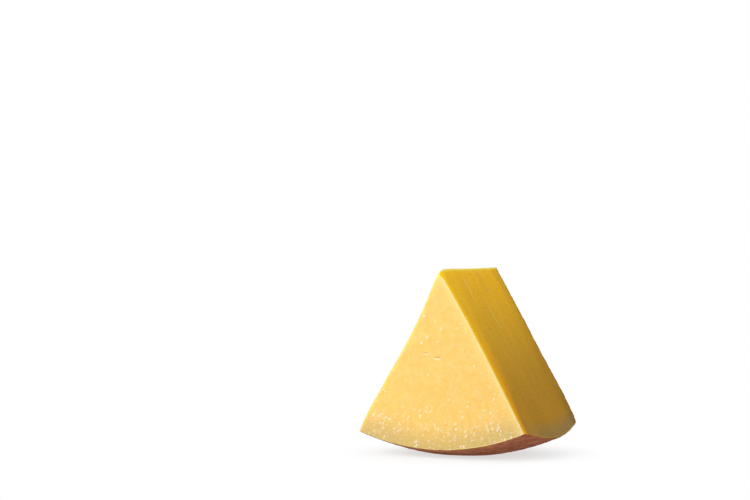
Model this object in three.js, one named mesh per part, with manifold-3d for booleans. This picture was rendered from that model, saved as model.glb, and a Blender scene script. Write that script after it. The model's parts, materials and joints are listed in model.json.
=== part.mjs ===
// A wedge of semi-hard cheese, standing on its rind with the point up.
// It is made the way the real one is: a round wheel is turned about its axis,
// with one flat side trimmed to bare paste, and two knife cuts that meet near
// the middle take the wedge out. The rind is the dried outside of the same
// cheese, so the wedge is one solid.
// Units are millimetres, +Z is up, the wheel's axis runs along Y, and the
// trimmed side faces -Y.
import * as THREE from 'three';
import { mergeVertices } from 'three/addons/utils/BufferGeometryUtils.js';
import Module from 'manifold-3d';

// The wheel, from its trimmed side to its far side
const THICKNESS = 100;
const RIM_RADIUS = 200; // at the sharp edge of the trimmed side
const RIM_BULGE = 7.8; // how far the rim stands out at mid thickness
const RIM_SHAPE = [[0.28, 0.7], [0.47, 1], [0.7, 0.6]]; // shares of the thickness and of the bulge there
const FAR_CORNER = new THREE.Vector2(196.5, 96); // where the rim turns in to the far side
const FAR_SHOULDER = new THREE.Vector2(191.5, 99.5); // pulls the dome round quickly next to the rim
const FAR_EASE = 20; // how gently the dome runs out into the flat
const FAR_FLAT_RADIUS = 150; // the far side is flat inside this and domed off outside it
const ROUND_STEPS = 288; // facets round the whole wheel
const RIM_STEPS = 12; // facets across the rim
const DOME_STEPS = 5; // facets across the domed part of the far side

// The two cuts, seen from the trimmed side and measured from the point of the
// wedge. Each is one cubic curve from the point through two pulls to the rim:
// the blade wandered, so the point leans a little to the left.
const LEFT_CUT = [[-17, -46.5], [-49, -85], [-70.3, -129.5]];
const RIGHT_CUT = [[27.1, -40.3], [51.4, -82.2], [75, -124.5]];
const POINT_BELOW_AXIS = 59; // the cuts meet short of the wheel's axis
const POINT_RIGHT_OF_AXIS = 3;
const CUT_STEPS = 12; // facets along each cut
const CUT_OVERRUN = 1.25; // the blade goes on past the rim, to this share of its way

// Where the wedge stands, its weight has pressed the rind flat by this much
const FOOT_SETTLE = 1.8;

const CLEARANCE = 10; // how far each cutting shape reaches past the wheel
const WELD_REACH = 1e-4; // corners closer than this are one corner

const wasm = await Module();
wasm.setup();

function solidOf(geometry) {
  geometry.deleteAttribute('normal');
  geometry.deleteAttribute('uv');
  const welded = mergeVertices(geometry, WELD_REACH);
  return new wasm.Manifold(new wasm.Mesh({
    numProp: 3,
    vertProperties: new Float32Array(welded.attributes.position.array),
    triVerts: new Uint32Array(welded.index.array),
  }));
}

function geometryOf(solid) {
  const mesh = solid.getMesh();
  const geometry = new THREE.BufferGeometry();
  const positions = new Float32Array(mesh.vertProperties);
  geometry.setAttribute('position', new THREE.BufferAttribute(positions, 3));
  geometry.setIndex(new THREE.BufferAttribute(new Uint32Array(mesh.triVerts), 1));
  return geometry;
}

// The section runs out along the trimmed side, round the bulging rim, and back
// over the domed far side to the axis.
function wheelSolid() {
  const rimPoint = ([depth, bulge]) => new THREE.Vector2(RIM_RADIUS + bulge * RIM_BULGE, depth * THICKNESS);
  const rim = new THREE.SplineCurve([
    new THREE.Vector2(RIM_RADIUS, 0),
    ...RIM_SHAPE.map(rimPoint),
    FAR_CORNER,
  ]);
  const dome = new THREE.CubicBezierCurve(
    FAR_CORNER,
    FAR_SHOULDER,
    new THREE.Vector2(FAR_FLAT_RADIUS + FAR_EASE, THICKNESS),
    new THREE.Vector2(FAR_FLAT_RADIUS, THICKNESS),
  );
  return solidOf(new THREE.LatheGeometry([
    new THREE.Vector2(0, 0),
    ...rim.getPoints(RIM_STEPS),
    ...dome.getPoints(DOME_STEPS).slice(1),
    new THREE.Vector2(0, THICKNESS),
  ], ROUND_STEPS));
}

// The points of one cut, from the point of the wedge to well past the rim.
function cutPoints([near, far, end]) {
  const point = new THREE.Vector2(0, 0);
  const rim = new THREE.Vector2(...end);
  const blade = new THREE.CubicBezierCurve(point, new THREE.Vector2(...near), new THREE.Vector2(...far), rim);
  const pastRim = rim.clone().multiplyScalar(CUT_OVERRUN);
  return [...blade.getPoints(CUT_STEPS), pastRim];
}

// What lies between the two cuts, through the whole thickness.
function sliceSolid() {
  const left = cutPoints(LEFT_CUT);
  const right = cutPoints(RIGHT_CUT);
  const outline = new THREE.Shape([...left, ...right.slice(1).reverse()]);
  const slice = new THREE.ExtrudeGeometry(outline, {
    depth: THICKNESS + 2 * CLEARANCE,
    bevelEnabled: false,
  });
  slice.rotateX(Math.PI / 2);
  slice.translate(POINT_RIGHT_OF_AXIS, THICKNESS + CLEARANCE, -POINT_BELOW_AXIS);
  return solidOf(slice);
}

// What the flat foot takes off the lowest part of the rim.
function footSolid() {
  const foot = new THREE.BoxGeometry(RIM_RADIUS, THICKNESS + 2 * CLEARANCE, CLEARANCE);
  const top = FOOT_SETTLE - RIM_RADIUS - RIM_BULGE;
  foot.translate(0, THICKNESS / 2, top - CLEARANCE / 2);
  return solidOf(foot);
}

function cheeseWedge() {
  const geometry = geometryOf(wheelSolid().intersect(sliceSolid()).subtract(footSolid()));
  geometry.computeBoundingBox();
  const { min, max } = geometry.boundingBox;
  geometry.translate(-(min.x + max.x) / 2, -(min.y + max.y) / 2, -min.z);
  const paste = new THREE.MeshStandardMaterial({ color: '#edc878', roughness: 0.55, metalness: 0 });
  const mesh = new THREE.Mesh(geometry, paste);
  mesh.name = 'cheese_wedge';
  return mesh;
}

const part = new THREE.Group();
part.add(cheeseWedge());

export default part;
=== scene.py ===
# %% [markdown]
# # A wedge of semi-hard cheese
# The object is one piece of cheese, cut out of a round wheel and stood on its rind with the point up. The
# lesson follows the cheesemonger: turn a wheel, trim one flat side, cut twice with a knife, and let the
# wedge settle on its rind. After that come the small marks that a knife, the air and the ripening leave,
# then the paste and rind, and last the floor, the light and the camera.

# %% Load the measured frame
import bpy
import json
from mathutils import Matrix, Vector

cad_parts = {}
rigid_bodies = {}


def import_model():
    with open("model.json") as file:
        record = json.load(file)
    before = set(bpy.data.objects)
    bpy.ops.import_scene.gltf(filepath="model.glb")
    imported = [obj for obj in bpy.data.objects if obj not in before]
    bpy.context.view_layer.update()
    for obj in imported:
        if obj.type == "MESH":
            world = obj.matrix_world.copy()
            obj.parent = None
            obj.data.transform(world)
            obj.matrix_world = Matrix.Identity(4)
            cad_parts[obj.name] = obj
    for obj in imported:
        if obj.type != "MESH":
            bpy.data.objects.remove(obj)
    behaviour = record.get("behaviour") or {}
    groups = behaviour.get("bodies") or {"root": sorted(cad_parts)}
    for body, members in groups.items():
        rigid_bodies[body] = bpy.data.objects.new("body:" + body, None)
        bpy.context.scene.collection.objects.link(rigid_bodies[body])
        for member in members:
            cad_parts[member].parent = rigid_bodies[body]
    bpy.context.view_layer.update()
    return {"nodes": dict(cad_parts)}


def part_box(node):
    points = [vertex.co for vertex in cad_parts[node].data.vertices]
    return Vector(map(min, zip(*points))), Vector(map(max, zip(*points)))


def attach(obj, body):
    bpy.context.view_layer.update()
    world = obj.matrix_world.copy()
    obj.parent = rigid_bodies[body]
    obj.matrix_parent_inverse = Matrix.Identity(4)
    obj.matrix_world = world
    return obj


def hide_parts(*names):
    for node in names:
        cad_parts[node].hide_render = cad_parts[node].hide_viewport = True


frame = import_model()

# %% [markdown]
# ## Sizes
# Everything is worked out from the measured solid: its box gives the thickness, and its highest corner is
# the point of the wedge. The wheel that the wedge came from is far bigger than the wedge, so its axis lies
# above the point, outside the cheese. Keeping the same few driving sizes as the measured solid keeps the
# two alike.

# %% Sizes of the wheel and of the cuts
import json
import math

import bmesh
import bpy
from mathutils import Vector

MM = 0.001
low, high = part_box("cheese_wedge")
FRONT_Y = low.y
BACK_Y = high.y
THICKNESS = BACK_Y - FRONT_Y
measured_solid = frame["nodes"]["cheese_wedge"]
highest = max((vertex.co for vertex in measured_solid.data.vertices), key=lambda place: place.z)

RIM_RADIUS = 2 * THICKNESS
RIM_BULGE = 7.8 * MM
FOOT_SETTLE = 1.8 * MM
AXIS_Z = RIM_RADIUS + RIM_BULGE - FOOT_SETTLE
AXIS_X = highest.x - 3 * MM
POINT_X = highest.x
POINT_Z = high.z
LEFT_ANGLE = math.radians(28.5)  # each cut leaves the plumb line through the point at its own angle
RIGHT_ANGLE = math.radians(31.1)


def in_mm(*lengths):
    return [round(length / MM, 1) for length in lengths]


print("wheel radius and thickness:", in_mm(RIM_RADIUS, THICKNESS), "mm")
print("point of the wedge, across and up:", in_mm(POINT_X, POINT_Z), "mm")

# %% [markdown]
# ## Helpers for working by hand
# An operator acts on whatever is selected, so every step first clears the selection and then picks vertices
# by where they are. One helper picks vertices by a test on their place. Two others clear the selection and
# choose one whole piece.

# %% Selecting by place
def deselect_everything():
    for thing in bpy.context.scene.objects:
        thing.select_set(False)


def only(piece):
    deselect_everything()
    piece.select_set(True)
    bpy.context.view_layer.objects.active = piece


def pick(piece, wanted):
    """In edit mode, selects the vertices whose place passes the test, and says how many."""
    bpy.ops.mesh.select_mode(type="VERT")
    bpy.ops.mesh.select_all(action="DESELECT")
    shape = bmesh.from_edit_mesh(piece.data)
    for vertex in shape.verts:
        vertex.select = wanted(vertex.co)
    shape.select_flush(True)
    bmesh.update_edit_mesh(piece.data)
    return sum(vertex.select for vertex in shape.verts)


# %% [markdown]
# ## The wheel
# A wheel of cheese is a low cylinder whose rim bulges between its two flat sides, because the young cheese
# sags in its mould. It could be spun from a profile, but a cylinder with a few rings across its rim, each
# pushed out by hand, shows the bulge directly and keeps the flat sides truly flat.

# %% A cylinder at the wheel's size and place
deselect_everything()
bpy.ops.mesh.primitive_cylinder_add(
    vertices=256,
    radius=RIM_RADIUS,
    depth=THICKNESS,
    location=(AXIS_X, 0, AXIS_Z),
    rotation=(math.pi / 2, 0, 0),
)
wedge = bpy.context.object
wedge.name = "cheese_wedge_fine"
wedge.data.name = "cheese_wedge_fine"
bpy.ops.object.transform_apply(location=True, rotation=True, scale=True)
print("cylinder:", in_mm(*wedge.dimensions), "mm")

# %% [markdown]
# The long edges across the rim are cut into even rings, and each ring is scaled about the wheel's axis. On
# the real wheel the bulge stands out most just before the middle, and by the far side it has come back in.

# %% Rings across the rim, pushed out into a bulge
RINGS = 19
BULGE_CREST = 0.47  # the rim stands out furthest at this share of the thickness
BULGE_TUCK = 0.45  # by the far side it has come back in past its start, by this share of the bulge
SWELL_POWER = 1.1  # how late the rim swells out, and how late it comes back in
TUCK_POWER = 1.7


def bulge_at(share):
    """How far the rim stands out at this share of the thickness, as a share of RIM_BULGE."""
    if share < BULGE_CREST:
        return math.sin(0.5 * math.pi * share / BULGE_CREST) ** SWELL_POWER
    past_crest = (share - BULGE_CREST) / (1 - BULGE_CREST)
    return 1 - (1 + BULGE_TUCK) * past_crest ** TUCK_POWER


bpy.ops.object.mode_set(mode="EDIT")
bpy.ops.mesh.select_all(action="DESELECT")
bpy.ops.mesh.select_mode(type="EDGE")
shape = bmesh.from_edit_mesh(wedge.data)
for edge in shape.edges:
    start, end = (vertex.co for vertex in edge.verts)
    edge.select = abs(start.y - end.y) > 0.9 * THICKNESS
bmesh.update_edit_mesh(wedge.data)
bpy.ops.mesh.subdivide(number_cuts=RINGS)
for ring in range(1, RINGS + 2):
    share = ring / (RINGS + 1)
    depth = FRONT_Y + share * THICKNESS
    pick(wedge, lambda place: abs(place.y - depth) < 0.1 * MM)
    grown = (RIM_RADIUS + RIM_BULGE * bulge_at(share)) / RIM_RADIUS
    bpy.ops.transform.resize(
        value=(grown, 1, grown),
        center_override=(AXIS_X, depth, AXIS_Z),
    )
print("rim rings:", RINGS)

# %% [markdown]
# The far side is the wheel's own flat side. It is flat in the middle and domed off towards the rim, which a
# few insets make, each ring a little shallower than the last.

# %% The domed far side
FAR_RINGS = [
    (191.5 * MM, 98.4 * MM),
    (182.0 * MM, 99.4 * MM),
    (168.0 * MM, 99.9 * MM),
    (150.0 * MM, 100.0 * MM),
]
FAR_CORNER_DEPTH = 96 * MM

pick(wedge, lambda place: place.y > BACK_Y - 0.1 * MM)
bpy.ops.transform.translate(value=(0, FAR_CORNER_DEPTH - THICKNESS, 0))
radius = RIM_RADIUS + RIM_BULGE * bulge_at(1)
depth = FAR_CORNER_DEPTH
for next_radius, next_depth in FAR_RINGS:
    bpy.ops.mesh.select_mode(type="FACE")
    bpy.ops.mesh.inset(thickness=radius - next_radius)
    bpy.ops.transform.translate(value=(0, next_depth - depth, 0))
    radius = next_radius
    depth = next_depth
bpy.ops.object.mode_set(mode="OBJECT")
print("wheel:", len(wedge.data.vertices), "vertices")

# %% [markdown]
# ## Two knife cuts and the foot
# Bisect is a knife: it cuts along a plane, throws one side away and fills the cut. Two cuts that meet at
# the point leave the wedge, and a third takes off the sliver that its weight has pressed flat where it
# stands.

# %% Cutting the wedge out of the wheel
POINT_ROUNDING = 0.8 * MM  # the point is cut this much higher, because the fine mesh rounds it off again


def slice_off(piece, place, outward):
    """Cuts along the plane through place and throws away what lies on the side that outward points to."""
    bpy.ops.mesh.select_all(action="SELECT")
    bpy.ops.mesh.bisect(plane_co=place, plane_no=outward, use_fill=True, clear_outer=True)


point = Vector((POINT_X, 0, POINT_Z + POINT_ROUNDING))
left_outward = Vector((-math.cos(LEFT_ANGLE), 0, math.sin(LEFT_ANGLE)))
right_outward = Vector((math.cos(RIGHT_ANGLE), 0, math.sin(RIGHT_ANGLE)))
only(wedge)
bpy.ops.object.mode_set(mode="EDIT")
slice_off(wedge, point, left_outward)
slice_off(wedge, point, right_outward)
slice_off(wedge, Vector((0, 0, 0)), Vector((0, 0, -1)))
print("cut wedge:", in_mm(*wedge.dimensions), "mm")

# %% [markdown]
# The hand that wiped the trimmed side has rubbed its right edge round. A bevel with a few segments does
# that. It must come before the fine mesh, while the edge is still one straight line that is easy to select.

# %% The rubbed edge
RUBBED = 3 * MM
TOUCHING = 0.01 * MM


def on_rubbed_edge(place):
    on_trimmed_side = abs(place.y - FRONT_Y) < TOUCHING
    on_right_cut = abs((place - point).dot(right_outward)) < TOUCHING
    return on_trimmed_side and on_right_cut


picked = pick(wedge, on_rubbed_edge)
bpy.ops.mesh.select_mode(type="EDGE")
bpy.ops.mesh.bevel(offset=RUBBED, segments=6, affect="EDGES")
bpy.ops.mesh.select_all(action="SELECT")
bpy.ops.mesh.normals_make_consistent(inside=False)
bpy.ops.object.mode_set(mode="OBJECT")
print("rubbed an edge between", picked, "corners")

# %% [markdown]
# ## A fine, even mesh
# The cut faces are single big polygons, so they can't hold small marks. A voxel remesh lays an even skin of
# quads about a millimetre across over everything, and it breaks the edges very slightly, as a knife does.

# %% Remesh
GRAIN = 0.95 * MM

remesh = wedge.modifiers.new("even skin", "REMESH")
remesh.mode = "VOXEL"
remesh.voxel_size = GRAIN
remesh.adaptivity = 0
only(wedge)
bpy.ops.object.modifier_apply(modifier=remesh.name)
print("even skin:", len(wedge.data.polygons), "quads")

# %% [markdown]
# ## How deep each place lies
# The looks depend on where a place lies in the cheese: how deep under the rind, and how far from a cut.
# Both are stored on the mesh as attributes now, while the cuts are still true planes, and the later bends
# carry them along.

# %% Store the depth under the rind and behind each cut
def rim_radius_at(depth_share):
    return RIM_RADIUS + RIM_BULGE * bulge_at(depth_share)


def far_side_depth_at(radius):
    """The depth of the far side's surface at a distance from the wheel's axis."""
    outer_radius = rim_radius_at(1)
    outer_depth = FAR_CORNER_DEPTH
    for inner_radius, inner_depth in FAR_RINGS:
        if radius > inner_radius:
            share = (radius - inner_radius) / (outer_radius - inner_radius)
            return inner_depth + min(share, 1) * (outer_depth - inner_depth)
        outer_radius = inner_radius
        outer_depth = inner_depth
    return THICKNESS


def rim_depth_at(place):
    share = min(max((place.y - FRONT_Y) / THICKNESS, 0), 1)
    radius = math.hypot(place.x - AXIS_X, place.z - AXIS_Z)
    return max(rim_radius_at(share) - radius, 0)


def rind_depth_at(place):
    """How deep a place lies under the rind, which covers both the rim and the far side."""
    radius = math.hypot(place.x - AXIS_X, place.z - AXIS_Z)
    under_far_side = far_side_depth_at(radius) - (place.y - FRONT_Y)
    return max(min(rim_depth_at(place), under_far_side), 0)


def cut_depth_at(place):
    """How far inside the nearer knife cut a place lies."""
    from_left = -(place - point).dot(left_outward)
    from_right = -(place - point).dot(right_outward)
    return max(min(from_left, from_right), 0)


def store(piece, name, value_at):
    layer = piece.data.attributes.new(name, "FLOAT", "POINT")
    values = [value_at(vertex.co) for vertex in piece.data.vertices]
    layer.data.foreach_set("value", values)
    return values


rim_depths = store(wedge, "rim_depth", rim_depth_at)
cut_depths = store(wedge, "cut_depth", cut_depth_at)
rind_depths = store(wedge, "rind_depth", rind_depth_at)
print("on the rind:", sum(depth < GRAIN for depth in rind_depths), "of", len(rind_depths), "vertices")
print("deepest under the rim and behind a cut:", in_mm(max(rim_depths), max(cut_depths)), "mm")

# %% [markdown]
# ## The knife wandered
# A long blade bends in firm cheese, so the cuts are bowed: both lean the point to the left. Proportional
# editing does this by hand. A few vertices on a cut are moved, and their neighbours follow, less and less
# the further away they are.

# %% Bend the cuts
LEFT_BOW = 2.9 * MM  # the left cut bows in, a third of the way down
LEFT_FLARE = 1.1 * MM  # and flares out again above the rind
RIGHT_BOW = 2.0 * MM  # the right cut swells next to the trimmed side
RIDGE_LIFT = 0.6 * MM  # the ridge is highest a little behind the point
TIP_WORN = Vector((-0.2 * MM, 0.2 * MM, -1.4 * MM))  # and the point itself is worn down


def nudge(piece, wanted, shift, reach):
    """Moves the picked vertices by shift, and draws the cheese around them along, out to reach."""
    picked = pick(piece, wanted)
    bpy.ops.transform.translate(
        value=shift,
        use_proportional_edit=True,
        proportional_edit_falloff="SMOOTH",
        proportional_size=reach,
    )
    return picked


def near(place, along, angle, tolerance=1.5 * MM):
    """True on the cut that leaves the point at this angle, at this distance along it."""
    spot = Vector((POINT_X + along * math.sin(angle), place.y, POINT_Z - along * math.cos(angle)))
    return (place - spot).length < tolerance


only(wedge)
bpy.ops.object.mode_set(mode="EDIT")
nudge(
    wedge,
    lambda place: near(place, 48 * MM, -LEFT_ANGLE),
    left_outward * -LEFT_BOW,
    reach=70 * MM,
)
nudge(
    wedge,
    lambda place: near(place, 132 * MM, -LEFT_ANGLE),
    left_outward * LEFT_FLARE,
    reach=28 * MM,
)
nudge(
    wedge,
    lambda place: near(place, 70 * MM, RIGHT_ANGLE, 3.5 * MM) and place.y < FRONT_Y + 2 * MM,
    right_outward * RIGHT_BOW,
    reach=92 * MM,
)
nudge(
    wedge,
    lambda place: near(place, 0, 0, 2 * MM) and abs(place.y - FRONT_Y - 14 * MM) < 3 * MM,
    Vector((0, 0, RIDGE_LIFT)),
    reach=38 * MM,
)
nudge(
    wedge,
    lambda place: near(place, 0, 0, 2.5 * MM) and place.y < FRONT_Y + 1.5 * MM,
    TIP_WORN,
    reach=8 * MM,
)
bpy.ops.object.mode_set(mode="OBJECT")
print("bent wedge:", in_mm(*wedge.dimensions), "mm")

# %% [markdown]
# ## Waves, and a rough rind
# Nothing on a cheese is quite flat or smooth. A Displace modifier moves the skin by a cloud pattern, and
# here it pushes in more than out, so the wedge keeps its measured size. A vertex group says where it acts:
# waves on the cuts and the far side, roughness on the rind, and nothing on the foot, which stays flat on
# the table.

# %% Push the skin in
FOOT_KEPT = 2.5 * MM  # the skin stays put below this height
RIND_SKIN = 1.2 * MM  # vertices no deeper than this are on the rind
TRIMMED_SHARE = 0.25  # the trimmed side was wiped flat, so it waves less than the cuts


def weigh(piece, name, weight_at):
    """A vertex group whose weights say how strongly each part of the skin is pushed."""
    group = piece.vertex_groups.new(name=name)
    for vertex in piece.data.vertices:
        group.add([vertex.index], weight_at(vertex), "REPLACE")
    return group.name


def push_in(piece, name, lump_size, depth, inwards, group_name):
    """Pushes the skin by up to depth, more of it inwards the nearer that inwards is to 1."""
    pattern = bpy.data.textures.new(name, "CLOUDS")
    pattern.noise_scale = lump_size
    pattern.noise_depth = 2
    displace = piece.modifiers.new(name, "DISPLACE")
    displace.texture = pattern
    displace.texture_coords = "LOCAL"
    displace.mid_level = inwards
    displace.strength = depth
    displace.vertex_group = group_name
    only(piece)
    bpy.ops.object.modifier_apply(modifier=displace.name)


def off_the_foot(place):
    return min(max(place.z / FOOT_KEPT - 0.2, 0), 1)


def wave_weight(vertex):
    share = TRIMMED_SHARE if vertex.co.y < FRONT_Y + GRAIN else 1
    return off_the_foot(vertex.co) * share


def rind_weight(vertex):
    on_rind = 1 if rind_depths[vertex.index] < RIND_SKIN else 0
    return on_rind * off_the_foot(vertex.co)


waves = weigh(wedge, "waves", wave_weight)
rough = weigh(wedge, "rough rind", rind_weight)
push_in(wedge, "waves", lump_size=45 * MM, depth=0.6 * MM, inwards=0.75, group_name=waves)
push_in(wedge, "rough rind", lump_size=4 * MM, depth=0.8 * MM, inwards=0.6, group_name=rough)
print("worn wedge:", in_mm(*wedge.dimensions), "mm")

# %% [markdown]
# ## Building with nodes
# A finish is a small network of nodes. A few short helpers keep the recipes readable: one feeds a socket
# with a number or a link, others add a Maths node, fade smoothly between two values, mix two colours or
# make noise.

# %% Node helpers
NUMBER = "NodeSocketFloat"
PLACE = "NodeSocketVector"
COLOUR = "NodeSocketColor"


def feed(tree, socket, value):
    if isinstance(value, bpy.types.NodeSocket):
        tree.links.new(value, socket)
    else:
        socket.default_value = value


def maths(tree, operation, *values):
    made = tree.nodes.new("ShaderNodeMath")
    made.operation = operation
    for socket, value in zip(made.inputs, values):
        feed(tree, socket, value)
    return made.outputs["Value"]


def fade(tree, value, start, end, at_start=0.0, at_end=1.0):
    """Goes smoothly from at_start to at_end while value goes from start to end."""
    made = tree.nodes.new("ShaderNodeMapRange")
    made.interpolation_type = "SMOOTHSTEP"
    feed(tree, made.inputs["Value"], value)
    feed(tree, made.inputs["From Min"], start)
    feed(tree, made.inputs["From Max"], end)
    feed(tree, made.inputs["To Min"], at_start)
    feed(tree, made.inputs["To Max"], at_end)
    return made.outputs["Result"]


def mixed(tree, share, first, second, blend="MIX"):
    """Colour first where share is 0 and second where it is 1."""
    made = tree.nodes.new("ShaderNodeMix")
    made.data_type = "RGBA"
    made.blend_type = blend
    colours = [socket for socket in made.inputs if socket.type == "RGBA"]
    feed(tree, made.inputs[0], share)
    feed(tree, colours[0], first)
    feed(tree, colours[1], second)
    return next(socket for socket in made.outputs if socket.type == "RGBA")


def scaled(tree, place, across, deep, up, lean=0):
    """Divides the place by a size along each axis, in metres, so that a pattern has lumps of that size."""
    made = tree.nodes.new("ShaderNodeMapping")
    made.vector_type = "TEXTURE"
    feed(tree, made.inputs["Vector"], place)
    made.inputs["Scale"].default_value = (across, deep, up)
    made.inputs["Rotation"].default_value = (0, math.radians(lean), 0)
    return made.outputs["Vector"]


def noise(tree, place, size, detail=2.0, roughness=0.5):
    made = tree.nodes.new("ShaderNodeTexNoise")
    feed(tree, made.inputs["Vector"], place)
    made.inputs["Scale"].default_value = 1 / size
    made.inputs["Detail"].default_value = detail
    made.inputs["Roughness"].default_value = roughness
    return made.outputs["Fac"]


def new_group(name, inputs, outputs):
    """An empty node group with named sockets, and its inner ends to read from and to feed."""
    group = bpy.data.node_groups.new(name, "ShaderNodeTree")
    for socket_name, kind, value in inputs:
        socket = group.interface.new_socket(name=socket_name, in_out="INPUT", socket_type=kind)
        if value is not None:
            socket.default_value = value
    for socket_name, kind in outputs:
        group.interface.new_socket(name=socket_name, in_out="OUTPUT", socket_type=kind)
    given = group.nodes.new("NodeGroupInput").outputs
    result = group.nodes.new("NodeGroupOutput").inputs
    return group, given, result


def use_group(tree, group, **settings):
    made = tree.nodes.new("ShaderNodeGroup")
    made.node_tree = group
    for name, value in settings.items():
        feed(tree, made.inputs[name], value)
    return made.outputs


# %% [markdown]
# ## Flecks
# Ripening leaves small whitish crystals, and a blade leaves small crumbs and pits of about the same size.
# Each cell of a Voronoi pattern is a place for one. A random number for each cell says whether it is there
# and how big it is, and noise makes its outline ragged.

# %% The flecks group
def make_flecks():
    group, given, result = new_group(
        "flecks",
        [("Place", PLACE, None), ("Amount", NUMBER, 0.3), ("Size", NUMBER, 0.35), ("Ragged", NUMBER, 0.3)],
        [("Mask", NUMBER)],
    )
    wobble = group.nodes.new("ShaderNodeTexNoise")
    wobble.inputs["Scale"].default_value = 2.2
    wobble.inputs["Detail"].default_value = 2
    feed(group, wobble.inputs["Vector"], given["Place"])
    moved = group.nodes.new("ShaderNodeVectorMath")
    moved.operation = "MULTIPLY_ADD"
    feed(group, moved.inputs[0], wobble.outputs["Color"])
    feed(group, moved.inputs[1], given["Ragged"])
    feed(group, moved.inputs[2], given["Place"])
    cells = group.nodes.new("ShaderNodeTexVoronoi")
    cells.inputs["Scale"].default_value = 1
    feed(group, cells.inputs["Vector"], moved.outputs["Vector"])
    chance = group.nodes.new("ShaderNodeSeparateColor")
    feed(group, chance.inputs["Color"], cells.outputs["Color"])
    there = maths(group, "LESS_THAN", chance.outputs["Red"], given["Amount"])
    own_size = maths(group, "MULTIPLY_ADD", chance.outputs["Green"], 0.65, 0.35)
    radius = maths(group, "MULTIPLY", own_size, given["Size"])
    core = maths(group, "MULTIPLY", radius, 0.5)
    spot = fade(group, cells.outputs["Distance"], radius, core)
    own_strength = maths(group, "MULTIPLY_ADD", chance.outputs["Blue"], 0.8, 0.2)
    shown = maths(group, "MULTIPLY", there, own_strength)
    feed(group, result["Mask"], maths(group, "MULTIPLY", spot, shown))
    return group


flecks = make_flecks()
print("flecks:", len(flecks.nodes), "nodes")

# %% [markdown]
# ## Blotches
# Some marks sit in one spot: a scuff, or a crowd of crystals. A blotch is a soft round mask at a given
# place and of a given size, and noise frays its edge.

# %% The blotch group
def make_blotch():
    group, given, result = new_group(
        "blotch",
        [("Place", PLACE, None), ("Centre", PLACE, (0, 0, 0)), ("Size", PLACE, (0.01, 0.01, 0.01))],
        [("Mask", NUMBER)],
    )
    offset = group.nodes.new("ShaderNodeVectorMath")
    offset.operation = "SUBTRACT"
    feed(group, offset.inputs[0], given["Place"])
    feed(group, offset.inputs[1], given["Centre"])
    shrunk = group.nodes.new("ShaderNodeVectorMath")
    shrunk.operation = "DIVIDE"
    feed(group, shrunk.inputs[0], offset.outputs["Vector"])
    feed(group, shrunk.inputs[1], given["Size"])
    far = group.nodes.new("ShaderNodeVectorMath")
    far.operation = "LENGTH"
    feed(group, far.inputs[0], shrunk.outputs["Vector"])
    frayed = noise(group, shrunk.outputs["Vector"], 0.6, detail=3)
    reach = maths(group, "MULTIPLY_ADD", frayed, 1.1, maths(group, "SUBTRACT", far.outputs["Value"], 0.55))
    feed(group, result["Mask"], fade(group, reach, 1.0, 0.55))
    return group


blotch = make_blotch()
print("blotch:", len(blotch.nodes), "nodes")

# %% [markdown]
# ## What the knife leaves
# A blade drags along the cut, so its marks run from the point to the rind. The distance from the point and
# the depth behind the trimmed side are the two directions on a cut. Noise that is long in one and short in
# the other makes the drag, and a few single scratches are thin lines between two places.

# %% The knife drag group
def make_knife_drag():
    group, given, result = new_group(
        "knife drag",
        [("Along", NUMBER, 0.0), ("Deep", NUMBER, 0.0)],
        [("Streaks", NUMBER), ("Bands", NUMBER), ("Crumb", NUMBER)],
    )
    flat = group.nodes.new("ShaderNodeCombineXYZ")
    feed(group, flat.inputs["X"], given["Along"])
    feed(group, flat.inputs["Y"], given["Deep"])
    streaks = noise(group, scaled(group, flat.outputs["Vector"], 9 * MM, 0.8 * MM, 1), 1, detail=3)
    bands = noise(group, scaled(group, flat.outputs["Vector"], 60 * MM, 11 * MM, 1), 1, detail=2)
    crumb_place = scaled(group, flat.outputs["Vector"], 1.9 * MM, 3 * MM, 1)
    crumb = noise(group, crumb_place, 1, detail=2, roughness=0.7)
    feed(group, result["Streaks"], streaks)
    feed(group, result["Bands"], bands)
    feed(group, result["Crumb"], crumb)
    return group


knife_drag = make_knife_drag()
print("knife drag:", len(knife_drag.nodes), "nodes")
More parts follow.
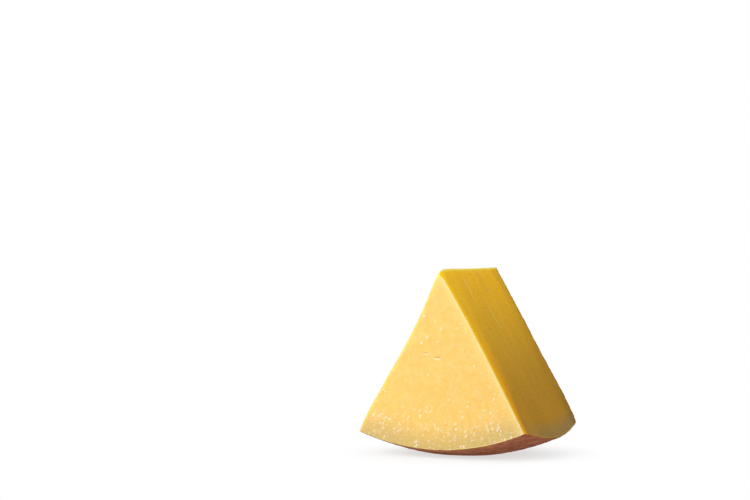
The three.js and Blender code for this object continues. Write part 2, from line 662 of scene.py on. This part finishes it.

# %% [markdown]
# A scratch is one thin line that wanders about a straight run. It fades in where the blade first caught and
# out where it let go, it breaks off here and there, and a painted shadow, a darker line, lies beside the
# pale ridge that it raised.

# %% The scratch group
def make_scratch():
    group, given, result = new_group(
        "scratch",
        [
            ("Along", NUMBER, 0.0),
            ("Deep", NUMBER, 0.0),
            ("Start", NUMBER, 0.0),
            ("End", NUMBER, 0.02),
            ("At", NUMBER, 0.0),
            ("Slant", NUMBER, 0.0),
            ("Width", NUMBER, 0.0008),
        ],
        [("Ridge", NUMBER), ("Shade", NUMBER)],
    )
    run = maths(group, "SUBTRACT", given["Along"], given["Start"])
    flat = group.nodes.new("ShaderNodeCombineXYZ")
    feed(group, flat.inputs["X"], given["Along"])
    feed(group, flat.inputs["Y"], given["At"])
    sway = noise(group, flat.outputs["Vector"], 5 * MM, detail=4)
    wander = maths(group, "MULTIPLY_ADD", sway, 2.5 * MM, given["At"])
    line_at = maths(group, "MULTIPLY_ADD", run, given["Slant"], wander)
    off_line = maths(group, "SUBTRACT", given["Deep"], line_at)
    on_line = fade(group, maths(group, "ABSOLUTE", off_line), given["Width"], 0)
    # The darker line beside the ridge is a painted shadow.
    beside = maths(group, "ABSOLUTE", maths(group, "ADD", off_line, given["Width"]))
    in_shade = fade(group, beside, given["Width"], 0)
    begun = fade(group, run, 0, 4 * MM)
    ended = fade(group, given["Along"], given["End"], maths(group, "SUBTRACT", given["End"], 5 * MM))
    broken = fade(group, noise(group, flat.outputs["Vector"], 5 * MM), 0.35, 0.65, 0.3, 1.0)
    strength = maths(group, "MULTIPLY", maths(group, "MULTIPLY", begun, ended), broken)
    feed(group, result["Ridge"], maths(group, "MULTIPLY", on_line, strength))
    feed(group, result["Shade"], maths(group, "MULTIPLY", in_shade, strength))
    return group


scratch = make_scratch()
print("scratch:", len(scratch.nodes), "nodes")

# %% [markdown]
# ## The rind
# The rind is the same cheese, dried and darkened by washing and handling. It is matt and reddish brown,
# with soft cloudy patches, fine pores and a fine grain.

# %% The rind group
def make_rind():
    group, given, result = new_group(
        "rind",
        [
            ("Place", PLACE, None),
            ("Pale", COLOUR, (0.45, 0.155, 0.066, 1)),
            ("Dark", COLOUR, (0.24, 0.065, 0.027, 1)),
            ("Bloom", COLOUR, (0.62, 0.40, 0.24, 1)),
        ],
        [("Colour", COLOUR), ("Height", NUMBER), ("Roughness", NUMBER)],
    )
    clouds = noise(group, given["Place"], 14 * MM, detail=6, roughness=0.72)
    crust = noise(group, given["Place"], 3.5 * MM, detail=4, roughness=0.65)
    grain = noise(group, given["Place"], 1.2 * MM, detail=3, roughness=0.6)
    pores = use_group(
        group,
        flecks,
        Place=scaled(group, given["Place"], 2.4 * MM, 2.4 * MM, 2.4 * MM),
        Amount=0.4,
        Size=0.32,
    )["Mask"]
    tone = maths(group, "MULTIPLY_ADD", crust, 0.45, maths(group, "MULTIPLY", clouds, 0.55))
    tone = maths(group, "MULTIPLY_ADD", grain, 0.3, maths(group, "SUBTRACT", tone, 0.15))
    colour = mixed(group, fade(group, tone, 0.33, 0.67), given["Dark"], given["Pale"])
    dusty = fade(group, maths(group, "SUBTRACT", clouds, maths(group, "MULTIPLY", grain, 0.3)), 0.38, 0.56)
    colour = mixed(group, maths(group, "MULTIPLY", dusty, 0.22), colour, given["Bloom"])
    colour = mixed(group, maths(group, "MULTIPLY", pores, 0.6), colour, given["Dark"])
    feed(group, result["Colour"], colour)
    bumps = maths(group, "MULTIPLY_ADD", crust, 0.7 * MM, maths(group, "MULTIPLY", grain, 0.3 * MM))
    feed(group, result["Height"], maths(group, "MULTIPLY_ADD", pores, -0.35 * MM, bumps))
    feed(group, result["Roughness"], maths(group, "MULTIPLY_ADD", grain, 0.15, 0.6))
    return group


rind_finish = make_rind()
print("rind:", len(rind_finish.nodes), "nodes")

# %% [markdown]
# ## The cheese
# One material covers the whole piece, because it is one piece of cheese: the paste turns khaki where it has
# dried near the rind, and becomes rind in the last millimetre. It is built here step by step, from the
# paste outwards. First come the places that the recipe works from: where on a cut, how deep, and on which
# side.

# %% Where on the cheese
cheese = bpy.data.materials.new("cheese")
cheese.use_nodes = True
tree = cheese.node_tree
surface = tree.nodes["Principled BSDF"]
place = tree.nodes.new("ShaderNodeTexCoord").outputs["Object"]
apart = tree.nodes.new("ShaderNodeSeparateXYZ")
feed(tree, apart.inputs["Vector"], place)
across, depth_y, up = apart.outputs


def stored(name):
    reader = tree.nodes.new("ShaderNodeAttribute")
    reader.attribute_name = name
    return reader.outputs["Fac"]


rim_depth = stored("rim_depth")
rind_depth = stored("rind_depth")
cut_depth = stored("cut_depth")
deep = maths(tree, "SUBTRACT", depth_y, FRONT_Y)
from_point = maths(tree, "SUBTRACT", across, POINT_X)
below_point = maths(tree, "SUBTRACT", POINT_Z, up)
below_squared = maths(tree, "MULTIPLY", below_point, below_point)
along = maths(tree, "SQRT", maths(tree, "MULTIPLY_ADD", from_point, from_point, below_squared))
on_trimmed = fade(tree, deep, 0.75 * MM, 0.4 * MM)
on_left = fade(tree, across, POINT_X + 1 * MM, POINT_X - 1 * MM)
on_cuts = maths(tree, "SUBTRACT", 1, on_trimmed)
print("place values:", len(tree.nodes), "nodes")

# %% [markdown]
# The paste on the cuts is golden at the point and browner towards the rind, partly because it has lost more
# water there and partly as a painted glow of light through the thin point. The cuts' deep ochre is partly
# painted shade, the paste as it looks on the shaded right cut, and the left cut gets a paler, lit copy of
# it.
# The trimmed side has been wiped and has dried to a paler bloom. Under the rim, the last centimetre or two
# of both is dried khaki. Next to the trimmed side the cuts get a painted glow, a bright orange strip where
# light from the lit trimmed side shines through the edge.

# %% The paste
POINT_PASTE = (0.96, 0.525, 0.010, 1)
CUT_PASTE = (0.64, 0.32, 0.012, 1)
CUT_DRY = (0.40, 0.27, 0.085, 1)
# Painted glow: colours of the bright strip on the cuts next to the trimmed side, where light shines through
# the edge.
POINT_EDGE_GLOW = (1.0, 0.575, 0.010, 1)
RIND_EDGE_GLOW = (1.0, 0.48, 0.008, 1)
TRIMMED_WARM = (0.91, 0.59, 0.155, 1)
TRIMMED_PALE = (0.93, 0.645, 0.225, 1)
TRIMMED_DRY = (0.65, 0.49, 0.185, 1)
LEFT_PALER = 0.6  # the left cut is painted this far towards the trimmed side's tone, as a paler, lit copy of the shaded cuts

clouds = noise(tree, place, 7 * MM, detail=4, roughness=0.65)
broad_clouds = noise(tree, place, 30 * MM, detail=2)
grain = noise(tree, place, 1.4 * MM, detail=3, roughness=0.7)
to_rind = fade(tree, along, 5 * MM, 125 * MM)
# The golden point is partly a painted glow of light through the thin point, and the deep ochre is partly
# painted shade.
cut_paste = mixed(tree, to_rind, POINT_PASTE, CUT_PASTE)
# The left cut gets a paler, lit copy of the shaded cuts' paste.
cut_paste = mixed(tree, maths(tree, "MULTIPLY", on_left, LEFT_PALER), cut_paste, TRIMMED_WARM)
trimmed_paste = mixed(tree, fade(tree, clouds, 0.3, 0.7), TRIMMED_WARM, TRIMMED_PALE)
paste = mixed(tree, on_trimmed, cut_paste, trimmed_paste)
dry = mixed(tree, on_trimmed, CUT_DRY, TRIMMED_DRY)
dry_reach = fade(tree, on_trimmed, 0, 1, 17 * MM, 22 * MM)
dry_start = maths(tree, "MULTIPLY_ADD", broad_clouds, 10 * MM, dry_reach)
speckled_depth = maths(tree, "MULTIPLY_ADD", grain, 6 * MM, rim_depth)
dried = fade(tree, speckled_depth, dry_start, 2 * MM)
drier_behind = fade(tree, deep, 6 * MM, 40 * MM, 0.45, 1)
dried = maths(tree, "MULTIPLY", dried, maths(tree, "MAXIMUM", drier_behind, on_trimmed))
paste = mixed(tree, dried, paste, dry)
far_corner = fade(tree, rim_depth, 40 * MM, 8 * MM, 0.82, 0.64)
darker_behind = fade(tree, deep, 0.8 * THICKNESS, 0.99 * THICKNESS, 1, far_corner)
paste = mixed(tree, 1, paste, darker_behind, "MULTIPLY")
# Painted glow: a bright orange strip on the cuts along the trimmed side, where light from the lit trimmed
# side shines through the edge.
edge_reach = fade(tree, rim_depth, 0, 80 * MM, 6 * MM, 26 * MM)
painted_edge_glow = maths(tree, "MULTIPLY", fade(tree, deep, edge_reach, 0), on_cuts)
paste = mixed(tree, painted_edge_glow, paste, mixed(tree, to_rind, POINT_EDGE_GLOW, RIND_EDGE_GLOW))
print("with the paste:", len(tree.nodes), "nodes")

# %% [markdown]
# The knife's drag and a few scratches lie on the cuts only. Each scratch is given by where it starts and
# ends along the cut, how deep behind the trimmed side it runs, its slant and its width. The left cut shows
# the same marks moved along by a few centimetres, so that the two cuts don't look copied.

# %% The knife's marks
SCRATCHES = [
    (-2 * MM, 13 * MM, 57 * MM, 0.65, 2.0 * MM),
    (8 * MM, 29 * MM, 30 * MM, -0.12, 1.8 * MM),
    (15 * MM, 27 * MM, 61 * MM, 0.3, 1.6 * MM),
    (34 * MM, 58 * MM, 45.5 * MM, 0.17, 2.1 * MM),
]
LEFT_ALONG = -23 * MM
LEFT_DEEP = 13 * MM
RIDGE_PASTE = (0.98, 0.68, 0.16, 1)
SHADE_PASTE = (0.55, 0.24, 0.010, 1)
RIDGE_SHARE = 0.7
SHADE_SHARE = 0.4

drag = use_group(tree, knife_drag, Along=along, Deep=deep)
streak_tone = maths(tree, "MULTIPLY_ADD", drag["Streaks"], 0.18, 0.91)
band_tone = fade(tree, drag["Bands"], 0.3, 0.7, 0.955, 1.045)
crumb_tone = fade(tree, drag["Crumb"], 0.3, 0.7, 0.925, 1.075)
cut_tone = maths(tree, "MULTIPLY", maths(tree, "MULTIPLY", streak_tone, band_tone), crumb_tone)
trimmed_tone = fade(tree, grain, 0.3, 0.7, 0.94, 1.05)
tone = mixed(tree, on_trimmed, cut_tone, trimmed_tone)
paste = mixed(tree, 1, paste, tone, "MULTIPLY")
mark_along = maths(tree, "MULTIPLY_ADD", on_left, LEFT_ALONG, along)
mark_deep = maths(tree, "MULTIPLY_ADD", on_left, LEFT_DEEP, deep)
ridges = 0
shades = 0
for start, end, at, slant, width in SCRATCHES:
    mark = use_group(
        tree,
        scratch,
        Along=mark_along,
        Deep=mark_deep,
        Start=start,
        End=end,
        At=at,
        Slant=slant,
        Width=width,
    )
    ridges = maths(tree, "MAXIMUM", ridges, mark["Ridge"])
    shades = maths(tree, "MAXIMUM", shades, mark["Shade"])
# Painted shadow beside each scratch's ridge.
paste = mixed(tree, maths(tree, "MULTIPLY", shades, SHADE_SHARE), paste, SHADE_PASTE)
paste = mixed(tree, maths(tree, "MULTIPLY", ridges, RIDGE_SHARE), paste, RIDGE_PASTE)
print("scratches:", len(SCRATCHES))

# %% [markdown]
# Crystals are sparse in the middle of the trimmed side and crowd towards the rind, where the cheese is
# driest. Two sets of long flecks lean opposite ways, like crumbs that the blade has rolled over, and dust
# lies between. The crowds and the few lone crystals are listed one by one: across, up and size.

# %% Crystals, crumbs and pits
CROWDS = [
    (31 * MM, 21 * MM, 8 * MM),
    (45 * MM, 27 * MM, 9 * MM),
    (8 * MM, 18 * MM, 8 * MM),
    (-39 * MM, 21 * MM, 7 * MM),
    (-52 * MM, 29 * MM, 9 * MM),
    (-21 * MM, 10 * MM, 6 * MM),
    (68 * MM, 25 * MM, 5 * MM),
]
LONE_CRYSTALS = [
    (-4 * MM, 122 * MM, 0.9 * MM),
    (0 * MM, 101 * MM, 1.2 * MM),
    (14 * MM, 102 * MM, 1.0 * MM),
    (-3 * MM, 91 * MM, 1.0 * MM),
    (35 * MM, 68 * MM, 0.8 * MM),
    (7 * MM, 46 * MM, 1.0 * MM),
    (38 * MM, 39 * MM, 1.0 * MM),
    (19 * MM, 33 * MM, 1.2 * MM),
]
CRYSTAL = (1.0, 0.93, 0.79, 1)
# Painted shade: the darker orange that pits and torn hollows are coloured.
PIT_SHADE = (0.66, 0.40, 0.06, 1)
CRYSTAL_SHARE = 0.85  # how strongly each kind shows
LONE_SHARE = 0.55
DUST_SHARE = 0.75
PIT_SHADE_SHARE = 0.4
LEFT_AMOUNT = 0.03  # hardly any crystals show on the left cut

patchy = fade(tree, noise(tree, place, 12 * MM, detail=2), 0.35, 0.65, 0.3, 1.25)
amount = maths(tree, "MULTIPLY", fade(tree, rim_depth, 48 * MM, 9 * MM, 0.025, 0.42), patchy)
for crowd_x, crowd_z, crowd_size in CROWDS:
    crowd = use_group(
        tree,
        blotch,
        Place=place,
        Centre=(crowd_x, FRONT_Y, crowd_z),
        Size=(crowd_size, crowd_size, 0.8 * crowd_size),
    )["Mask"]
    amount = maths(tree, "MULTIPLY_ADD", crowd, 1.1, amount)
amount = maths(tree, "MULTIPLY_ADD", amount, on_trimmed, maths(tree, "MULTIPLY", on_left, LEFT_AMOUNT))


def scattered(across_size, up_size, lean, share, size, ragged):
    return use_group(
        tree,
        flecks,
        Place=scaled(tree, place, across_size, across_size, up_size, lean),
        Amount=maths(tree, "MULTIPLY", amount, share),
        Size=size,
        Ragged=ragged,
    )["Mask"]


leaning_left = scattered(2.1 * MM, 4.2 * MM, 30, 0.7, 0.5, 1.0)
leaning_right = scattered(2.0 * MM, 3.8 * MM, -25, 0.7, 0.5, 1.0)
dust = scattered(1.5 * MM, 1.7 * MM, 0, 1.4, 0.42, 0.7)
pits = scattered(2.6 * MM, 2.4 * MM, 10, 0.9, 0.36, 0.9)
white = maths(tree, "MAXIMUM", leaning_left, leaning_right)
white = maths(tree, "MAXIMUM", white, maths(tree, "MULTIPLY", dust, DUST_SHARE))
for crystal_x, crystal_z, crystal_size in LONE_CRYSTALS:
    crystal = use_group(
        tree,
        blotch,
        Place=place,
        Centre=(crystal_x, FRONT_Y, crystal_z),
        Size=(crystal_size, crystal_size, crystal_size),
    )["Mask"]
    white = maths(tree, "MAXIMUM", white, maths(tree, "MULTIPLY", crystal, LONE_SHARE))
# Painted shade darkens the pits.
paste = mixed(tree, maths(tree, "MULTIPLY", pits, PIT_SHADE_SHARE), paste, PIT_SHADE)
paste = mixed(tree, maths(tree, "MULTIPLY", white, CRYSTAL_SHARE), paste, CRYSTAL)
print("crowds of crystals:", len(CROWDS), "and lone ones:", len(LONE_CRYSTALS))

# %% [markdown]
# Two small scuffs, where a crumb was torn out of the trimmed side, show a painted shade of darker orange in
# the torn hollow above a white lip.

# %% Scuffs
SCUFFS = [
    (-3 * MM, 79 * MM, 3.2 * MM),
    (-13 * MM, 82 * MM, 2.2 * MM),
]
SCUFF_FLATNESS = 0.3  # a scuff is this much lower than it is wide
LIP_DROP = 0.5  # its lip lies this share of its size below it
TORN_SHADE_SHARE = 0.55
LIP_SHARE = 0.6

torn = 0
lip = 0
for scuff_x, scuff_z, scuff_size in SCUFFS:
    flat_size = (scuff_size, scuff_size, SCUFF_FLATNESS * scuff_size)
    pit = use_group(tree, blotch, Place=place, Centre=(scuff_x, FRONT_Y, scuff_z), Size=flat_size)["Mask"]
    below = (scuff_x, FRONT_Y, scuff_z - LIP_DROP * scuff_size)
    rim = use_group(tree, blotch, Place=place, Centre=below, Size=flat_size)["Mask"]
    torn = maths(tree, "MAXIMUM", torn, pit)
    lip = maths(tree, "MAXIMUM", lip, rim)
torn = maths(tree, "MULTIPLY", torn, on_trimmed)
lip = maths(tree, "MULTIPLY", lip, on_trimmed)
# Painted shade in the torn hollows.
paste = mixed(tree, maths(tree, "MULTIPLY", torn, TORN_SHADE_SHARE), paste, PIT_SHADE)
paste = mixed(tree, maths(tree, "MULTIPLY", lip, LIP_SHARE), paste, CRYSTAL)
print("scuffs:", len(SCUFFS))

# %% [markdown]
# Along its right edge and along the rim the trimmed side gets a painted highlight, a cream line, and a
# paler band lies just inside its right edge. The ridge at the point gets a painted cream highlight too. The
# left edge stays yellow, because light shines through it.

# %% Cream edges, painted highlights
EDGE_PALE_BAND = (0.95, 0.72, 0.30, 1)
EDGE_HIGHLIGHT_CREAM = (1.0, 0.80, 0.40, 1)
PALE_BAND_SHARE = 0.5
HIGHLIGHT_SHARE = 0.85

# A paler band just inside the right edge of the trimmed side.
pale_band = maths(tree, "MULTIPLY", fade(tree, cut_depth, 10 * MM, 2 * MM), on_trimmed)
pale_band = maths(tree, "MULTIPLY", pale_band, maths(tree, "SUBTRACT", 1, on_left))
paste = mixed(tree, maths(tree, "MULTIPLY", pale_band, PALE_BAND_SHARE), paste, EDGE_PALE_BAND)
# Painted highlight: cream lines along the right edge, along the rim and on the ridge at the point.
from_right_edge = maths(tree, "MULTIPLY_ADD", on_left, 20 * MM, cut_depth)
right_edge = fade(tree, from_right_edge, 3.1 * MM, 2.2 * MM, 0, 0.7)
rim_share = fade(tree, across, -20 * MM, 35 * MM, 0.1, 0.8)
rim_edge = fade(tree, rim_depth, 1.7 * MM, 0.9 * MM, 0, rim_share)
edge = maths(tree, "MULTIPLY", maths(tree, "MAXIMUM", right_edge, rim_edge), on_trimmed)
ridge = maths(tree, "MULTIPLY", fade(tree, along, 3 * MM, 1 * MM, 0, 0.4), on_cuts)
painted_highlight = maths(tree, "MAXIMUM", edge, ridge)
paste = mixed(tree, maths(tree, "MULTIPLY", painted_highlight, HIGHLIGHT_SHARE), paste, EDGE_HIGHLIGHT_CREAM)
print("with its edges:", len(tree.nodes), "nodes")

# %% [markdown]
# The rind takes over in the last millimetre, and in the last few where the far side is cut through.
# Then the surface is told how it takes the light: roughness, bumps from all the marks so far, and
# subsurface scattering, because light goes a few millimetres into cheese and comes out warmer.

# %% Rind, gloss and depth
GRAIN_HEIGHT = 0.05 * MM
DRAG_HEIGHT = 0.05 * MM
RIDGE_HEIGHT = 0.08 * MM
CRYSTAL_HEIGHT = 0.12 * MM
PIT_DEPTH = 0.25 * MM
TORN_DEPTH = 0.15 * MM

rind = use_group(tree, rind_finish, Place=place)
far_side_extra = fade(tree, deep, 0.9 * THICKNESS, 0.97 * THICKNESS, 0.5 * MM, 3.4 * MM)
rind_start = maths(tree, "MULTIPLY_ADD", noise(tree, place, 3 * MM), 0.6 * MM, far_side_extra)
on_rind = fade(tree, rind_depth, rind_start, 0.35 * MM)
cut_through = fade(tree, rind_depth, 0.1 * MM, 0.5 * MM, 1, 0.5)
rind_colour = mixed(tree, 1, rind["Colour"], cut_through, "MULTIPLY")
feed(tree, surface.inputs["Base Color"], mixed(tree, on_rind, paste, rind_colour))

paste_roughness = fade(tree, on_trimmed, 0, 1, 0.42, 0.52)
rougher = maths(tree, "SUBTRACT", rind["Roughness"], paste_roughness)
roughness = maths(tree, "MULTIPLY_ADD", rougher, on_rind, paste_roughness)
feed(tree, surface.inputs["Roughness"], roughness)

height = maths(tree, "MULTIPLY", noise(tree, place, 1.1 * MM), GRAIN_HEIGHT)
height = maths(tree, "MULTIPLY_ADD", drag["Streaks"], maths(tree, "MULTIPLY", on_cuts, DRAG_HEIGHT), height)
height = maths(tree, "MULTIPLY_ADD", ridges, maths(tree, "MULTIPLY", on_cuts, RIDGE_HEIGHT), height)
height = maths(tree, "MULTIPLY_ADD", white, CRYSTAL_HEIGHT, height)
height = maths(tree, "MULTIPLY_ADD", pits, -PIT_DEPTH, height)
height = maths(tree, "MULTIPLY_ADD", torn, -TORN_DEPTH, height)
higher = maths(tree, "SUBTRACT", rind["Height"], height)
height = maths(tree, "MULTIPLY_ADD", higher, on_rind, height)
bump = tree.nodes.new("ShaderNodeBump")
bump.inputs["Distance"].default_value = 1
feed(tree, bump.inputs["Height"], height)
feed(tree, surface.inputs["Normal"], bump.outputs["Normal"])

surface.subsurface_method = "RANDOM_WALK"
surface.inputs["Subsurface Weight"].default_value = 0.8
surface.inputs["Subsurface Radius"].default_value = (1.0, 0.6, 0.15)
surface.inputs["Subsurface Scale"].default_value = 14 * MM
surface.inputs["IOR"].default_value = 1.45
surface.inputs["Specular IOR Level"].default_value = 0.13
print("cheese material:", len(tree.nodes), "nodes")

# %% [markdown]
# ## Into the frame
# The fine wedge takes the place of the measured solid: it rides on the same body, and the measured solid is
# hidden.

# %% Dress the wedge
wedge.data.materials.append(cheese)
only(wedge)
bpy.ops.object.shade_smooth()
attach(wedge, "root")
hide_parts("cheese_wedge")
print("dressed", wedge.name, "with", len(wedge.data.polygons), "faces")

# %% [markdown]
# ## The floor and the room
# The wedge stands on a plain white table in a white room. The room is much dimmer than it looks, so that it
# doesn't wash out the shaded cut: only the camera sees it white. The same goes for the table, which lets
# just a little of the real shadow through near the foot.

# %% The table
scene = bpy.context.scene
scene.view_settings.view_transform = "Standard"
TABLE_SIZE = 60 * THICKNESS
SHADOW_SHARE = 0.34
TABLE_GLOW = 0.3

deselect_everything()
bpy.ops.mesh.primitive_plane_add(size=TABLE_SIZE, location=(0, 0, 0))
table = bpy.context.object
table.name = "table"


def make_table_finish():
    material = bpy.data.materials.new("white table")
    material.use_nodes = True
    tree = material.node_tree
    surface = tree.nodes["Principled BSDF"]
    surface.inputs["Base Color"].default_value = (0.86, 0.84, 0.83, 1)
    surface.inputs["Roughness"].default_value = 0.8
    surface.inputs["Specular IOR Level"].default_value = 0.1
    white = tree.nodes.new("ShaderNodeEmission")
    white.inputs["Color"].default_value = (1, 1, 1, 1)
    seen = tree.nodes.new("ShaderNodeLightPath").outputs["Is Camera Ray"]
    place = tree.nodes.new("ShaderNodeTexCoord").outputs["Object"]
    reach = tree.nodes.new("ShaderNodeVectorMath")
    reach.operation = "LENGTH"
    feed(tree, reach.inputs[0], place)
    whiter = fade(tree, reach.outputs["Value"], 0.3 * THICKNESS, 1.15 * THICKNESS, 1 - SHADOW_SHARE, 1)
    both = tree.nodes.new("ShaderNodeMixShader")
    extra = maths(tree, "MULTIPLY", seen, maths(tree, "SUBTRACT", whiter, TABLE_GLOW))
    feed(tree, both.inputs[0], maths(tree, "ADD", extra, TABLE_GLOW))
    feed(tree, both.inputs[1], surface.outputs["BSDF"])
    feed(tree, both.inputs[2], white.outputs["Emission"])
    feed(tree, tree.nodes["Material Output"].inputs["Surface"], both.outputs["Shader"])
    return material


table.data.materials.append(make_table_finish())
print("table:", round(TABLE_SIZE, 1), "m across")

# %% [markdown]
# The room is even white light from everywhere. Seen directly it is full white, but it lights the wedge with
# only a third of that.

# %% The room
ROOM_LIGHT = 0.34

world = bpy.data.worlds.new("room")
scene.world = world
world.use_nodes = True
room = world.node_tree
background = room.nodes["Background"]
background.inputs["Color"].default_value = (1, 1, 1, 1)
seen = room.nodes.new("ShaderNodeLightPath").outputs["Is Camera Ray"]
feed(room, background.inputs["Strength"], maths(room, "MULTIPLY_ADD", seen, 1 - ROOM_LIGHT, ROOM_LIGHT))
print("room light:", ROOM_LIGHT)

# %% [markdown]
# ## Studio light
# A big softbox at the front left lights the trimmed side. It stays off the right cut, which gets only what
# the room and the table send back, and a small softbox above the point, so it darkens towards the rind.

# %% Softboxes
def aim_at(thing, target):
    thing.rotation_mode = "QUATERNION"
    thing.rotation_quaternion = (target - thing.location).to_track_quat("-Z", "Y")


def direction(azimuth, rise):
    """A unit step towards this azimuth and rise, in degrees: 0 is to the front, 90 to the right."""
    turn = math.radians(azimuth)
    climb = math.radians(rise)
    level = math.cos(climb)
    return Vector((math.sin(turn) * level, -math.cos(turn) * level, math.sin(climb)))


def softbox(name, target, azimuth, rise, distance, side, power):
    lamp = bpy.data.lights.new(name, "AREA")
    lamp.shape = "SQUARE"
    lamp.size = side
    lamp.energy = power
    holder = bpy.data.objects.new(name, lamp)
    scene.collection.objects.link(holder)
    holder.location = target + direction(azimuth, rise) * distance
    aim_at(holder, target)
    print(name, "at", [round(value, 2) for value in holder.location])


middle = Vector((0, 0, 0.45 * POINT_Z))
ridge_middle = Vector((POINT_X, 0, POINT_Z))
softbox("key softbox", middle, azimuth=-32, rise=32, distance=1.2, side=0.9, power=12.5)
softbox("point softbox", ridge_middle, azimuth=85, rise=55, distance=0.2, side=0.14, power=0.16)

# %% [markdown]
# ## The camera
# A long lens at about the height of the wedge keeps its edges nearly parallel. The camera stands to the
# right and looks past the wedge, a little to the left of its front point and above it, so the wedge lies
# low and right in the picture.

# %% The camera
VIEW_AZIMUTH = 28
VIEW_RISE = 1.6
VIEW_DISTANCE = 20 * THICKNESS
LENS = 123.3
LOOK_LEFT = 49 * MM
LOOK_ABOVE = 15.5 * MM

lens = bpy.data.cameras.new("camera")
lens.lens = LENS
lens.sensor_width = 36
camera = bpy.data.objects.new("camera", lens)
scene.collection.objects.link(camera)
front_point = Vector((POINT_X, FRONT_Y, POINT_Z))
camera.location = front_point + direction(VIEW_AZIMUTH, VIEW_RISE) * VIEW_DISTANCE
to_the_right = direction(VIEW_AZIMUTH + 90, 0)
aim_at(camera, front_point - to_the_right * LOOK_LEFT + Vector((0, 0, LOOK_ABOVE)))
scene.camera = camera
print("camera at", [round(value, 2) for value in camera.location])
